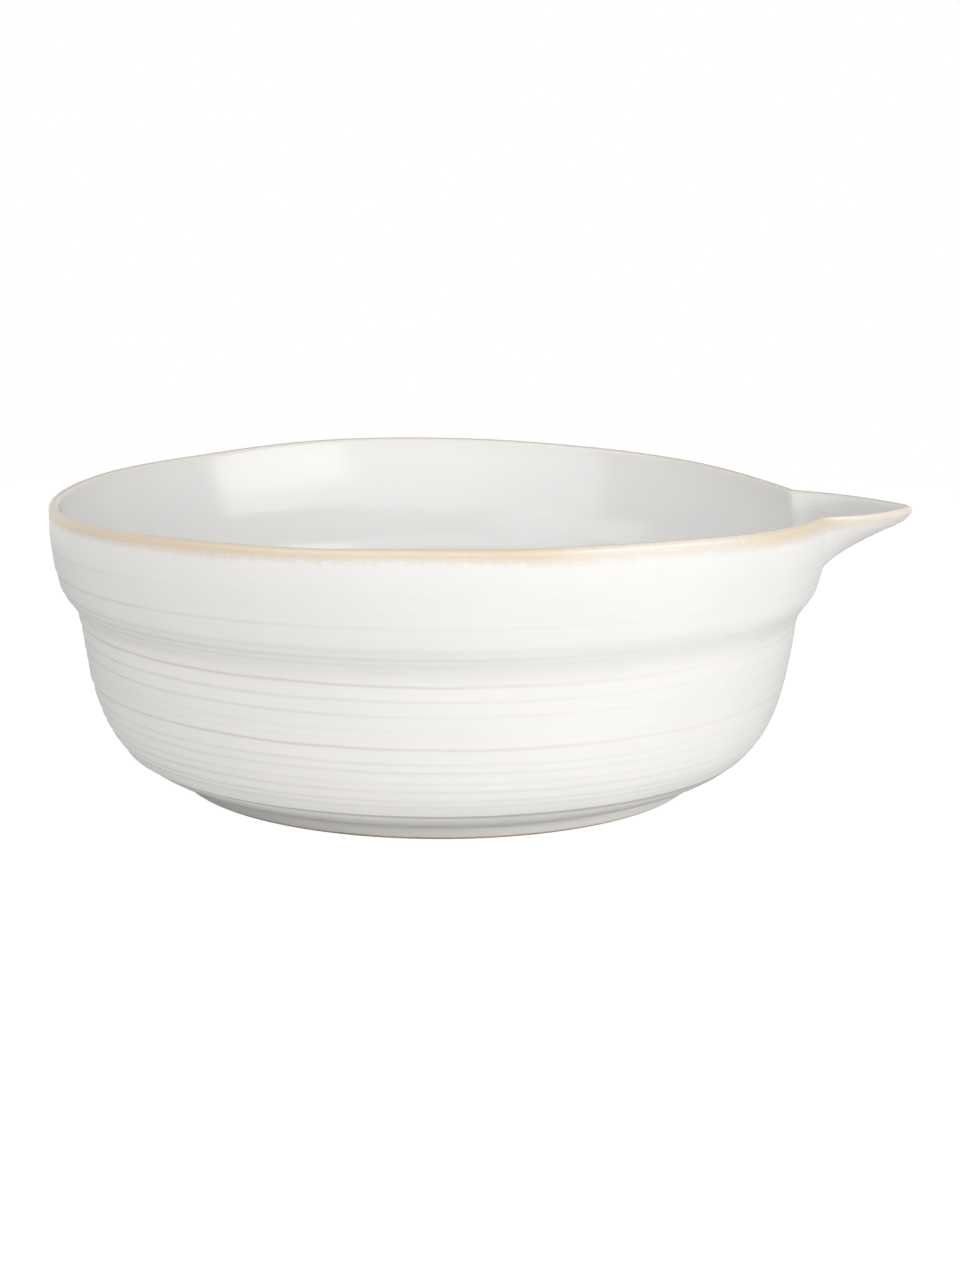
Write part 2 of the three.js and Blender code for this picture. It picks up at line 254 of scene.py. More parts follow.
class BowlFinish(bpy.types.PropertyGroup):
    """Colours and gloss of the glaze and the clay, with the painted shade among them"""

    glaze: colour("Glaze", "Warm white of the outside", (0.86, 0.845, 0.815))
    glaze_thick: colour("Thick glaze", "Where the glaze pools", (0.83, 0.825, 0.805))
    # The liner is greyer than the outer glaze as painted shade for the inside
    liner: colour("Liner", "White of the inside", (0.82, 0.817, 0.805))
    rim: colour("Rim", "Tan where the glaze runs thin over the rim", (0.73, 0.575, 0.385))
    # A darker brown line along the top of the crest
    crest: colour("Crest", "Clay showing through at the crest", (0.42, 0.32, 0.22))
    ring: colour("Ring", "Beige where the glaze breaks over a ring", (0.70, 0.59, 0.45))
    # Painted shade: grey over the spout's channel
    pool: colour("Pool", "Grey where the glaze pools in the spout's channel", (0.62, 0.62, 0.61))
    # Painted shade: a dark line under the ledge where the trimming of the foot stopped
    painted_trim_shade: colour("Trim line", "Shaded line where the trimming of the foot stopped", (0.34, 0.31, 0.27))
    clay: colour("Clay", "Bare fired stoneware", (0.60, 0.45, 0.29))
    grit: colour("Grit", "Dark grit in the bare clay", (0.30, 0.20, 0.12))
    gloss: factor("Roughness", "Roughness of the outer glaze", 0.24)
    liner_gloss: factor("Liner roughness", "Roughness of the inner glaze", 0.13)
    rim_width: length("Rim band", "How far the tan reaches below the crest", 0.0047)


class StageSettings(bpy.types.PropertyGroup):
    """Floor, lamps and camera"""

    floor: colour("Floor", "Pale floor under the bowl", (0.85, 0.85, 0.85))
    floor_size: length("Floor size", "Side of the floor", 12.0)
    # Painted shade: a darker floor right under the bowl, seen in its reflections and the light it sends up
    mat: colour("Mat", "Darker floor right under the bowl", (0.35, 0.35, 0.35))
    painted_shade_mat_size: length("Mat size", "Radius of that darker floor", 0.085)
    glow: factor("Glow", "White that the floor shows by itself", 0.93)
    shadow: factor("Shadow", "How much of the lit floor and its shadow is shown", 0.3)
    sky: factor("Sky", "Even light from all round", 0.235, top=2.0)
    key: watts("Key lamp", "Soft box low on the right of the camera", 10.1)
    front: watts("Front lamp", "Wide soft box behind the camera", 45.0)
    fill: watts("Fill lamp", "Soft box high on the left of the camera", 5.4)
    back: watts("Back lamp", "Low strip behind the bowl, under the height of its rim", 4.0)
    lens: bpy.props.FloatProperty(
        name="Lens",
        description="Focal length of the camera",
        default=70.59,
        subtype="DISTANCE_CAMERA",
        unit="CAMERA",
    )
    distance: length("Distance", "From the camera to the point that it looks at", 0.78525)
    aim_x: length("Aim across", "Where the camera looks, along the spout", -0.00097)
    aim_height: length("Aim height", "Height of that point", 0.04231)
    pitch: turn("Pitch", "How far the camera looks down", 11.855)
    roll: turn("Roll", "How far the camera leans", 0.38)


# Lines of a section, as rows of radius and height


def smoothstep(value, low, high):
    share = np.clip((value - low) / (high - low), 0.0, 1.0)
    return share * share * (3 - 2 * share)


def along(line):
    """Distance along a line to each of its points."""
    steps = np.linalg.norm(np.diff(line, axis=0), axis=1)
    return np.concatenate([[0.0], np.cumsum(steps)])


def pick(line, places, at):
    """Points of a line at some of its places."""
    return np.column_stack([np.interp(at, places, line[:, i]) for i in range(line.shape[1])])


def resample(line, spacing):
    """A line with its points a spacing apart, or as far apart as the spacing says at each point."""
    arc = along(line)
    gaps = np.broadcast_to(spacing, arc.shape)
    count = np.concatenate([[0.0], np.cumsum(np.diff(arc) * 2 / (gaps[1:] + gaps[:-1]))])
    steps = max(int(round(count[-1])), 1)
    return pick(line, count, np.linspace(0.0, count[-1], steps + 1))


def soften(line, width):
    """A line whose corners are rounded over a width, with its ends kept."""
    line = resample(np.asarray(line), FINE_LINE)
    reach = max(int(round(width / FINE_LINE / 2)), 1)
    before = 2 * line[0] - line[reach:0:-1]
    after = 2 * line[-1] - line[-2:-reach - 2:-1]
    padded = np.vstack([before, line, after])
    weights = np.hanning(2 * reach + 3)[1:-1]
    weights /= weights.sum()
    return np.column_stack([np.convolve(padded[:, i], weights, mode="valid") for i in range(2)])


def outward(line):
    """Direction square to a line, to the right of the way that it runs."""
    way = np.gradient(line, axis=0)
    way /= np.linalg.norm(way, axis=1, keepdims=True)
    return np.column_stack([way[:, 1], -way[:, 0]])


def towards(point, angle, reach):
    """The end of a handle that leaves a point at an angle from level."""
    return (point[0] + reach * math.cos(angle), point[1] + reach * math.sin(angle))


def curve(start, leave, arrive, end):
    """A cubic curve between two points, through its two handles' pull."""
    t = np.linspace(0.0, 1.0, CURVE_POINTS)[:, None]
    ends = np.outer((1 - t) ** 3, start) + np.outer(t ** 3, end)
    return ends + np.outer(3 * t * (1 - t) ** 2, leave) + np.outer(3 * t ** 2 * (1 - t), arrive)


def arc(middle, radius, first, last, steps):
    """Points round a middle, from one angle to another."""
    angles = np.linspace(first, last, steps + 1)
    return np.column_stack([middle[0] + radius * np.cos(angles), middle[1] + radius * np.sin(angles)])


def coat(sizes):
    """Glaze and bond line together."""
    return sizes.glaze + sizes.bond


def crest_base(sizes):
    """Height at which the upright lip starts to round over."""
    return sizes.rim_height - coat(sizes) - sizes.lip_thickness / 2


def floor_top(sizes):
    """Height of the clay floor."""
    return sizes.foot_height + coat(sizes) + sizes.floor


def clay_thickness(sizes, height):
    """The clay gets thinner up to the lip, so the inside of the collar leans out."""
    grown = sizes.lip_thickness + (crest_base(sizes) - height) * math.tan(sizes.lip_lean)
    return np.minimum(grown, sizes.wall)


def foot_edge(sizes, height):
    """Radius of the foot's glazed side at a height."""
    return sizes.foot_radius + sizes.foot_flare * height / sizes.foot_height


def seen_wall(sizes):
    """The glazed outside, from the foot's bare edge to where the lip rounds over."""
    edge = (foot_edge(sizes, sizes.foot_bare), sizes.foot_bare)
    cove = (foot_edge(sizes, sizes.foot_height), sizes.foot_height)
    neck = (sizes.neck_radius, sizes.neck_height)
    shoulder = (sizes.shoulder_radius, sizes.shoulder_height)
    lip = (sizes.rim_radius, crest_base(sizes) - sizes.lip_depth)
    belly = curve(
        cove,
        towards(cove, sizes.belly_angle, sizes.belly_hold),
        towards(neck, sizes.neck_angle, -sizes.neck_hold),
        neck,
    )
    step = curve(
        neck,
        towards(neck, sizes.neck_angle, sizes.step_hold),
        towards(shoulder, sizes.shoulder_angle, -sizes.step_hold),
        shoulder,
    )
    collar = curve(
        shoulder,
        towards(shoulder, sizes.shoulder_angle, sizes.collar_hold),
        towards(lip, math.pi / 2, -sizes.collar_hold),
        lip,
    )
    top = (sizes.rim_radius, crest_base(sizes))
    return soften(np.vstack([edge, belly, step[1:], collar[1:], top]), sizes.cove_round)


def crest(sizes, clearance):
    """The half round over the lip, from the outside to the inside, a distance away from the clay."""
    middle = (sizes.rim_radius - coat(sizes) - sizes.lip_thickness / 2, crest_base(sizes))
    return arc(middle, sizes.lip_thickness / 2 + clearance, 0.0, math.pi, CREST_ROWS)


def inner_wall(sizes, clearance):
    """An inner face, a distance away from the clay: from the lap down the wall and in along the floor."""
    wall = seen_wall(sizes)
    wall = wall[wall[:, 1] > sizes.foot_height]
    depth = coat(sizes) + clay_thickness(sizes, wall[:, 1]) + clearance
    inner = wall - outward(wall) * depth[:, None]
    level = floor_top(sizes) + clearance
    lap = crest_base(sizes) - sizes.lip_depth
    inner = inner[(inner[:, 1] > level) & (inner[:, 1] < lap - FINE_LINE)]
    top = (sizes.rim_radius - coat(sizes) - clay_thickness(sizes, lap) - clearance, lap)
    return soften(np.vstack([top, inner[::-1], (0.0, level)]), sizes.floor_round)


def hidden_rows(sizes, line):
    """The face of a coat on the clay, with few points but for the wall that the spout is pulled from."""
    return resample(line, np.where(line[:, 1] > sizes.spout_base, INNER_ROW, HIDDEN_ROW))[::-1]


def edge_round(first, last):
    """Points of the half round that joins two faces of a coat, without its ends."""
    middle = (np.asarray(first) + last) / 2
    spoke = np.asarray(first) - middle
    across = np.array([spoke[1], -spoke[0]])
    angles = np.linspace(0.0, math.pi, EDGE_ROWS)[1:-1, None]
    return middle + spoke * np.cos(angles) - across * np.sin(angles)


# Shaping by hand: where each turned point goes


def ring_relief(marks, wall):
    """How far the throwing rings raise each point of the outside, and where their ledges are."""
    place = along(wall)
    relief = np.zeros(len(wall))
    ledge = np.zeros(len(wall))
    for height, share in THROWING_RINGS:
        above = place - np.interp(height, wall[:, 1], place)
        edge = np.tanh(above / marks.ledge)
        relief += share * marks.depth / 2 * edge * np.exp(-np.abs(above) / marks.swell)
        ledge += share * share * (1 - edge * edge)
    return relief, np.minimum(ledge, 1.0)


def rim_wave(angle):
    """Height that the hand's bumps and dips give the crest."""
    turns, rises = np.array(RIM_WAVES).T
    fine = np.radians(np.arange(-180, 180))
    steps = np.interp(fine, np.radians(turns), rises, period=2 * math.pi)
    weights = np.hanning(RIM_WAVE_ROUND)
    reach = RIM_WAVE_ROUND // 2
    wrapped = np.concatenate([steps[-reach:], steps, steps[:reach]])
    smooth = np.convolve(wrapped, weights / weights.sum(), mode="valid")
    return np.interp(angle, fine, smooth, period=2 * math.pi)


def rim_rise(sizes, angle):
    """Height of the crest over its mean."""
    dip = sizes.rim_saddle * np.cos(2 * (angle - sizes.saddle_turn))
    dip = dip + sizes.rim_tilt * np.cos(angle - sizes.tilt_turn)
    return -dip - sizes.rim_ripple * np.cos(3 * (angle - sizes.ripple_turn))


def spout_pull(sizes, angle, height, inset):
    """How far the spout is pulled out of the round wall."""
    base = sizes.spout_base + inset * sizes.channel_rise
    climb = np.clip((height - base) / (sizes.rim_height - base), LEAST_CLIMB, 1.0)
    half_angle = math.asin(sizes.spout_width / 2 / sizes.rim_radius)
    within = smoothstep(inset, sizes.glaze, sizes.lip_thickness + 2 * coat(sizes))
    nose = (sizes.spout_nose + within * sizes.channel_round * (1 - climb)) / (sizes.spout_width / 2)
    crease = sizes.spout_crease / (sizes.spout_width / 2)
    across = np.hypot(angle / (half_angle * np.sqrt(climb)), nose)
    rounded = np.clip(1 + crease - across, 0.0, None) ** 2 / (4 * crease)
    share = np.where(across < 1 - crease, 1 - across, rounded)
    keel = soften(KEEL, KEEL_ROUND)
    outside = np.interp(climb, keel[:, 0], keel[:, 1])
    inside = smoothstep(climb, 0.0, 1.0)
    rise = outside + (inside - outside) * within
    return sizes.spout_reach * rise * share ** sizes.spout_fullness


def spread_columns(sizes, angle):
    """Evenly turned columns set close together across the spout, and closest at its tip."""
    half_angle = math.asin(sizes.spout_width / 2 / sizes.rim_radius) * SPOUT_COLUMN_SPREAD
    edge = math.pi * SPOUT_COLUMN_SHARE
    share = np.abs(angle) / edge
    across = np.where(share < 1, share ** SPOUT_COLUMN_BUNCH, share)
    return np.sign(angle) * np.interp(across, [0.0, 1.0, math.pi / edge], [0.0, half_angle, math.pi])


def waves(angle, place, counts):
    """An uneven wave round the bowl that changes along the wall, between about -1 and 1."""
    total = np.zeros_like(angle)
    for i, count in enumerate(counts):
        start = (1.9 + 0.7 * i) * (1 + place * (40 + 55 * i))  # each starts elsewhere, and moves up the wall
        total += np.sin(count * angle + start) / (1 + 0.6 * i)
    return total / 2


class Outline:
    """A closed section, point by point, with what each point needs for its shaping and its glaze."""

    def __init__(self):
        self.points = np.zeros((0, 2))
        self.inset = np.zeros(0)
        self.relief = np.zeros(0)
        self.ledge = np.zeros(0)
        self.run = np.zeros(0)

    def add(self, points, inset=0.0, relief=0.0, ledge=0.0, run=0.0):
        """Go on along a face: its distance inside the seen outside, its rings and its run from the crest."""
        count = len(points)
        self.points = np.vstack([self.points, points])
        self.inset = np.concatenate([self.inset, np.broadcast_to(inset, count)])
        self.relief = np.concatenate([self.relief, np.broadcast_to(relief, count)])
        self.ledge = np.concatenate([self.ledge, np.broadcast_to(ledge, count)])
        self.run = np.concatenate([self.run, np.broadcast_to(run, count)])


# Modelling


def draw_outline(name, outline):
    """Draw a closed section in the plane of the spout, point by point from one vertex."""
    bpy.ops.object.select_all(action="DESELECT")
    points = [Vector((AXIS_X + radius, 0.0, height)) for radius, height in outline.points]
    bpy.ops.mesh.primitive_circle_add(vertices=3, radius=FINE_LINE, location=points[0])
    bpy.ops.object.transform_apply(location=True, rotation=True, scale=True)
    piece = bpy.context.object
    piece.name = piece.data.name = name
    bpy.ops.object.mode_set(mode="EDIT")
    bpy.ops.mesh.select_all(action="SELECT")
    bpy.ops.mesh.merge(type="CENTER")
    # Leaving edit mode here makes the numbers of the points follow the order that they are drawn in
    bpy.ops.object.mode_set(mode="OBJECT")
    bpy.ops.object.mode_set(mode="EDIT")
    for before, after in zip(points, points[1:]):
        bpy.ops.mesh.extrude_vertices_move(TRANSFORM_OT_translate={"value": after - before})
    bpy.ops.object.mode_set(mode="OBJECT")
    if not np.allclose(read_points(piece.data), points, atol=DRAWN_WITHIN):
        raise RuntimeError(f"{name} wasn't drawn in order")
    ends = (0, len(points) - 1)
    for vertex in piece.data.vertices:
        vertex.select = vertex.index in ends
    station = piece.data.attributes.new("station", "FLOAT", "POINT")
    station.data.foreach_set("value", np.arange(len(points), dtype=np.float32))
    bpy.ops.object.mode_set(mode="EDIT")
    bpy.ops.mesh.edge_face_add()
    bpy.ops.object.mode_set(mode="OBJECT")
    return piece


def spin_outline(piece, columns):
    """Turn a drawn section once round the wheel's axis into a closed body."""
    bpy.ops.object.mode_set(mode="EDIT")
    bpy.ops.mesh.select_all(action="SELECT")
    bpy.ops.mesh.spin(
        steps=columns, angle=2 * math.pi, use_auto_merge=True, center=(AXIS_X, 0.0, 0.0), axis=(0.0, 0.0, 1.0)
    )
    bpy.ops.mesh.select_all(action="SELECT")
    bpy.ops.mesh.remove_doubles(threshold=SAME_POINT)
    bpy.ops.mesh.delete_loose(use_verts=True, use_edges=True, use_faces=False)
    bpy.ops.mesh.select_all(action="SELECT")
    bpy.ops.mesh.normals_make_consistent(inside=False)
    bpy.ops.object.mode_set(mode="OBJECT")


def read_points(mesh):
    points = np.empty(len(mesh.vertices) * 3)
    mesh.vertices.foreach_get("co", points)
    return points.reshape(-1, 3)


def read_stations(mesh):
    stations = np.empty(len(mesh.vertices), dtype=np.float32)
    mesh.attributes["station"].data.foreach_get("value", stations)
    return np.rint(stations).astype(int)


def shape_by_hand(piece, outline, sizes, marks):
    """Dip the rim, leave the rings and pull the spout on a turned piece."""
    mesh = piece.data
    turned = read_points(mesh)
    station = read_stations(mesh)
    angle = spread_columns(sizes, np.arctan2(turned[:, 1], turned[:, 0] - AXIS_X))
    closed = np.vstack([outline.points[-1:], outline.points, outline.points[:1]])
    square = outward(closed)[1:-1]
    drawn_radius, drawn_height = outline.points[station].T
    square = square[station]
    inset = outline.inset[station]
    run = outline.run[station]
    boldness = ((1 + np.cos(angle - marks.bold_turn)) / 2) ** marks.bold_focus
    strength = marks.faint + (marks.bold - marks.faint) * boldness
    strength = strength * (1 + marks.unevenness * waves(angle, drawn_height, STRENGTH_WAVES))
    raised = np.maximum(outline.relief[station] * strength, -marks.depth)
    is_wall = smoothstep(drawn_height, sizes.foot_height, sizes.foot_height * 3)
    below_collar = 1 - smoothstep(drawn_height, sizes.neck_height, sizes.shoulder_height)
    stray = marks.wander * waves(angle, drawn_height, WANDER_WAVES) * is_wall * below_collar
    round_off = marks.waver * waves(angle, drawn_height / 2, WAVER_WAVES) * is_wall * below_collar
    radius = drawn_radius + square[:, 0] * raised - square[:, 1] * stray + round_off
    height = drawn_height + square[:, 1] * raised + square[:, 0] * stray
    radius = np.where(drawn_radius < FINE_LINE, 0.0, radius)
    radius = radius + spout_pull(sizes, angle, drawn_height, inset)
    sway = smoothstep(drawn_height, sizes.neck_height, sizes.rim_height)
    height = height + sway * rim_rise(sizes, angle)
    height = height + smoothstep(drawn_height, sizes.shoulder_height, sizes.rim_height) * rim_wave(angle)
    shaped = np.column_stack([AXIS_X + radius * np.cos(angle), radius * np.sin(angle), height])
    mesh.vertices.foreach_set("co", shaped.ravel())
    for name, values in (("run", run), ("ledge", outline.ledge[station] * strength)):
        attribute = mesh.attributes.new(name, "FLOAT", "POINT")
        attribute.data.foreach_set("value", values.astype(np.float32))
    mesh.update()


def turn_piece(scene, name, outline, columns):
    """Draw a section, turn it once round the wheel's axis and shape it by hand."""
    piece = draw_outline(name, outline)
    spin_outline(piece, columns)
    shape_by_hand(piece, outline, scene.bowl_sizes, scene.bowl_marks)
    return piece


def finish_piece(piece, finish, slot, *nodes):
    """Smooth a piece, glaze it and set it in the frame in place of its nodes."""
    mesh = piece.data
    mesh.attributes.remove(mesh.attributes["station"])
    bpy.ops.object.select_all(action="DESELECT")
    piece.select_set(True)
    bpy.context.view_layer.objects.active = piece
    bpy.ops.object.shade_smooth_by_angle(angle=SMOOTH_ANGLE)
    mesh.materials.clear()
    mesh.materials.append(finish)
    open_edges = np.zeros(len(mesh.edges), dtype=int)
    loops = np.empty(len(mesh.loops), dtype=np.int32)
    mesh.loops.foreach_get("edge_index", loops)
    np.add.at(open_edges, loops, 1)
    if (open_edges != 2).any():
        raise RuntimeError(f"{piece.name} isn't a closed body")
    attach(piece, "root")
    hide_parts(*nodes)


# Materials


class Value:
    """A node's output that Python can reckon with: each sum adds a Math node."""

    def __init__(self, nodes, socket):
        self.nodes = nodes
        self.socket = socket

    def reckon(self, operation, first, second):
        return self.nodes.node("ShaderNodeMath", {"operation": operation}, {0: first, 1: second})

    def __add__(self, other):
        return self.reckon("ADD", self, other)

    def __radd__(self, other):
        return self.reckon("ADD", other, self)

    def __sub__(self, other):
        return self.reckon("SUBTRACT", self, other)

    def __rsub__(self, other):
        return self.reckon("SUBTRACT", other, self)

    def __mul__(self, other):
        return self.reckon("MULTIPLY", self, other)

    def __rmul__(self, other):
        return self.reckon("MULTIPLY", other, self)

    def __truediv__(self, other):
        return self.reckon("DIVIDE", self, other)


class Nodes:
    """A node tree, and the ways to add to it."""

    def __init__(self, tree):
        self.tree = tree

    def node(self, kind, settings, inputs, output=0):
        """A node of a kind, with its settings, then its sockets' values or links."""
        made = self.tree.nodes.new(kind)
        for name, value in settings.items():
            setattr(made, name, value)
        for key, value in inputs.items():
            self.put(value, made.inputs[key])
        return Value(self, made.outputs[output])

    def put(self, value, socket):
        """Link a value to a socket, or set the socket to a plain number or colour."""
        if isinstance(value, Value):
            self.tree.links.new(value.socket, socket)
        else:
            socket.default_value = value

    def seen_rays(self):
        """One for the rays that show a background: straight, mirrored or through glass."""
        camera, glossy, through = [self.node("ShaderNodeLightPath", {}, {}, name) for name in SEEN_RAYS]
        return self.node("ShaderNodeMath", {"operation": "MAXIMUM"}, {0: camera + glossy, 1: through})


class Finish(Nodes):
    """A material, and the nodes that make it."""

    def __init__(self, name):
        self.material = bpy.data.materials.new(name)
        self.material.use_nodes = True
        super().__init__(self.material.node_tree)
        self.shader = self.tree.nodes["Principled BSDF"]

    def attribute(self, name):
        """A value that the piece's own points hold."""
        return self.node("ShaderNodeAttribute", {"attribute_name": name}, {}, output=2)

    def place(self, output):
        """One of the piece's own coordinates, in metres."""
        where = self.node("ShaderNodeTexCoord", {}, {}, output="Object")
        return self.node("ShaderNodeSeparateXYZ", {}, {0: where}, output=output)

    def noise(self, x, y, along, grain, detail=2.0, roughness=0.5):
        """Even noise around one half, with a grain across and along the piece."""
        where = self.node("ShaderNodeCombineXYZ", {}, {0: x * grain[0], 1: y * grain[0], 2: along * grain[1]})
        inputs = {"Vector": where, "Scale": 1.0, "Detail": detail, "Roughness": roughness}
        return self.node("ShaderNodeTexNoise", {"noise_dimensions": "3D"}, inputs)

    def step(self, value, low, high):
        """Nought below one value, one above another, and smooth between."""
        settings = {"interpolation_type": "SMOOTHSTEP", "clamp": True}
        return self.node("ShaderNodeMapRange", settings, {"Value": value, "From Min": low, "From Max": high})

    def band(self, value, low, rise, fall, high):
        """One in a band of values, and smooth at both its edges."""
        return self.step(value, low, rise) * (1 - self.step(value, fall, high))

    def mix(self, share, first, second):
        """From one colour to another, through the node's colour sockets."""
        settings = {"data_type": "RGBA", "clamp_factor": True}
        return self.node("ShaderNodeMix", settings, {0: share, 6: paint(first), 7: paint(second)}, output=2)

    def bump(self, height, distance, strength, below=None):
        """Relief too fine to model, laid over any that is below it."""
        inputs = {"Height": height, "Distance": distance, "Strength": strength}
        if below is not None:
            inputs["Normal"] = below
        return self.node("ShaderNodeBump", {}, inputs)

    def surface(self, **sockets):
        """Set the shader's sockets, with underscores for their spaces."""
        for name, value in sockets.items():
            self.put(value, self.shader.inputs[name.replace("_", " ")])
        return self.material


def paint(value):
    """A colour socket's value: a link as it is, or three numbers made opaque."""
    return value if isinstance(value, Value) else (*value, 1.0)


def glaze_finish(name, colours, body, gloss):
    """Glaze on a thrown wall: it breaks to tan over the rim and to beige over the rings' ledges."""
    finish = Finish(name)
    run = finish.attribute("run")
    ledge = finish.attribute("ledge")
    x, y, z = finish.place(0), finish.place(1), finish.place(2)
    # Clouds, and the streaks that the turning leaves round the wall
    clouds = finish.noise(x, y, z, CLOUD_GRAIN, detail=3.0)
    streaks = finish.noise(x, y, run, STREAK_GRAIN, detail=4.0, roughness=0.6)
    hairs = finish.noise(x, y, run, HAIR_GRAIN)
    drift = finish.noise(x, y, z, DRIFT_GRAIN, detail=1.0)
    # The lap inside the rim runs into the liner, whose greyer white is painted shade
    over = finish.step(run, *LAP_FADE)
    tone = finish.mix(over, colours.liner, body)
    tone = finish.mix(finish.step(clouds + streaks, 0.75, 1.3), tone, colours.glaze_thick)
    # Beige where the glaze breaks over a ring's ledge
    patchy = finish.step(drift + hairs * 0.25, 0.4, 0.85)
    tone = finish.mix(ledge * (patchy * 0.2 + 0.08), tone, colours.ring)
    # Painted shade: a dark line under the ledge where the trimming of the foot stopped, on the outside alone
    painted_trim_shade = finish.band(z - TRIM_LINE, *TRIM_SHADE) * finish.step(run, *OUTSIDE)
    tone = finish.mix(painted_trim_shade * PAINTED_TRIM_SHADE_SHARE, tone, colours.painted_trim_shade)
    # Tan below the crest, feathered where the glaze starts to run thicker
    width = colours.rim_width * (drift * 1.1 + 0.45 + (hairs - 0.5) * 0.5)
    outside = (1 - finish.step(run / width, 0.55, 1.25)) * finish.step(run, *CREST_FADE)
    inside = (1 - finish.step(run, *CREST_FADE)) * finish.step(run, *INNER_TAN)
    faint = finish.band(x, *FAINT_TAN) + finish.step(x, *SPOUT_TAN)
    tan = outside * finish.step(drift + clouds * 0.4, 0.1, 0.7) * (1 - faint * 0.5) + inside * INSIDE_SHARE
    tone = finish.mix(tan * RIM_SHARE, tone, colours.rim)
    # Painted shade: grey over the spout's channel
    pool = finish.step(x, *CHANNEL_SHADE_START) * (1 - finish.step(run, *CHANNEL_SHADE_EDGE))
    tone = finish.mix(pool * CHANNEL_SHADE_SHARE, tone, colours.pool)
    # A thin darker line along the top of the crest
    line = finish.band(run, *CREST_LINE) * finish.step(streaks + drift, 0.5, 1.1)
    tone = finish.mix(line * CREST_SHARE, tone, colours.crest)
    # Fine turning lines and the glaze's own skin
    turning = finish.bump(streaks, 0.0001, 0.5)
    skin = finish.noise(x, y, z, SKIN_GRAIN, detail=1.0)
    normal = finish.bump(skin, 0.00003, 0.35, below=turning)
    roughness = over * (gloss - colours.liner_gloss) + colours.liner_gloss
    roughness = roughness + (clouds - 0.5) * 0.08 + tan * 0.06
    return finish.surface(Base_Color=tone, Roughness=roughness, Normal=normal, IOR=1.52)


def clay_finish(name, colours):
    """Bare fired stoneware: tan, matt and gritty."""
    finish = Finish(name)
    x, y, z = finish.place(0), finish.place(1), finish.place(2)
    blush = finish.noise(x, y, z, BLUSH_GRAIN, detail=3.0)
    grit = finish.noise(x, y, z, GRIT_GRAIN)
    tooth = finish.noise(x, y, z, TOOTH_GRAIN, roughness=0.65)
    pale = [min(1.0, part * 1.25) for part in colours.clay]
    fired = finish.mix(finish.step(blush, 0.3, 0.7), colours.clay, pale)
    speckled = finish.mix(finish.step(grit, 0.62, 0.74) * 0.6, fired, colours.grit)
    normal = finish.bump(tooth + grit, 0.00012, 0.6)
    return finish.surface(Base_Color=speckled, Roughness=0.82 + (tooth - 0.5) * 0.15, Normal=normal)


# Sections of the pieces


def outer_section(sizes, marks):
    """The outer coat: its seen face, from the foot over the crest to the lap, then its face on the clay."""
    fine = seen_wall(sizes)
    places = along(fine)
    ledges = np.interp([height for height, _ in THROWING_RINGS], fine[:, 1], places)
    near = np.abs(places[:, None] - ledges).min(axis=1)
    wall = resample(fine, np.where(near < RING_ROW_REACH, RING_ROW, ROW))
    relief, ledge = ring_relief(marks, wall)
    over = crest(sizes, coat(sizes))
    leaned = sizes.lip_depth * math.tan(sizes.lip_lean)
    lap_end = np.array([over[-1, 0] - leaned, crest_base(sizes) - sizes.lip_depth])
    lap = resample(np.vstack([over[-1], lap_end]), ROW)
    top = np.vstack([over[1:], lap[1:]])
    plain = np.zeros(len(top))
    seen = np.vstack([wall, top])
    inset = np.concatenate([np.zeros(len(wall)), sizes.rim_radius - top[:, 0]])
    run = along(seen)[len(wall) - 1 + CREST_ROWS // 2] - along(seen)
    outline = Outline()
    outline.add(seen, inset, np.concatenate([relief, plain]), np.concatenate([ledge, plain]), run)
    under = crest(sizes, sizes.bond)[::-1]
    under = np.vstack([(under[0, 0], lap_end[1]), under])
    outline.add(under, sizes.rim_radius - under[:, 0], run=run[0])
    hidden = fine - outward(fine) * sizes.glaze
    hidden[0] = (fine[0, 0] - sizes.glaze, fine[0, 1])
    hidden = hidden_rows(sizes, hidden)
    outline.add(hidden[1:], sizes.glaze, run=run[0])
    outline.add(edge_round(hidden[-1], seen[0]), sizes.glaze / 2, run=run[0])
    return outline


def inner_section(sizes):
    """The inner coat: its seen face from the lap to the middle of the floor, then its face on the clay."""
    outline = Outline()
    start = math.pi / 2 * (sizes.lip_thickness / 2 + coat(sizes)) + sizes.lip_depth
    seen = resample(inner_wall(sizes, coat(sizes)), INNER_ROW)
    thick = coat(sizes) + clay_thickness(sizes, seen[:, 1])
    outline.add(seen, thick + coat(sizes), run=-start - along(seen))
    hidden = hidden_rows(sizes, inner_wall(sizes, sizes.bond))
    thick = coat(sizes) + clay_thickness(sizes, hidden[:, 1])
    outline.add(hidden, thick + sizes.bond, run=-start)
    return outline


def base_section(sizes):
    """The coat inside the foot ring: out along the floor, down the ring to its bare edge, and back."""
    bond = sizes.foot_radius - coat(sizes) - sizes.foot_width - sizes.bond
    face = bond - sizes.glaze
    level = sizes.foot_height
    bend = sizes.foot_fillet
    corner = arc((face - bend, level - bend), bend, math.pi / 2, 0.0, EDGE_ROWS)
    under = resample(np.vstack([(0.0, level), corner[0]]), HIDDEN_ROW)
    side = resample(np.vstack([corner[-1], (face, sizes.foot_bare)]), ROW)
    seen = np.vstack([under[:-1], corner, side[1:]])
    run = sizes.foot_radius + along(seen)
    top = floor_top(sizes) - sizes.floor - sizes.bond
    outline = Outline()
    outline.add(seen, run=run)
    outline.add(edge_round(seen[-1], (bond, sizes.foot_bare)), run=run[-1])
    outline.add(np.array([(bond, sizes.foot_bare), (bond, top), (0.0, top)]), run=run[-1])
    return outline


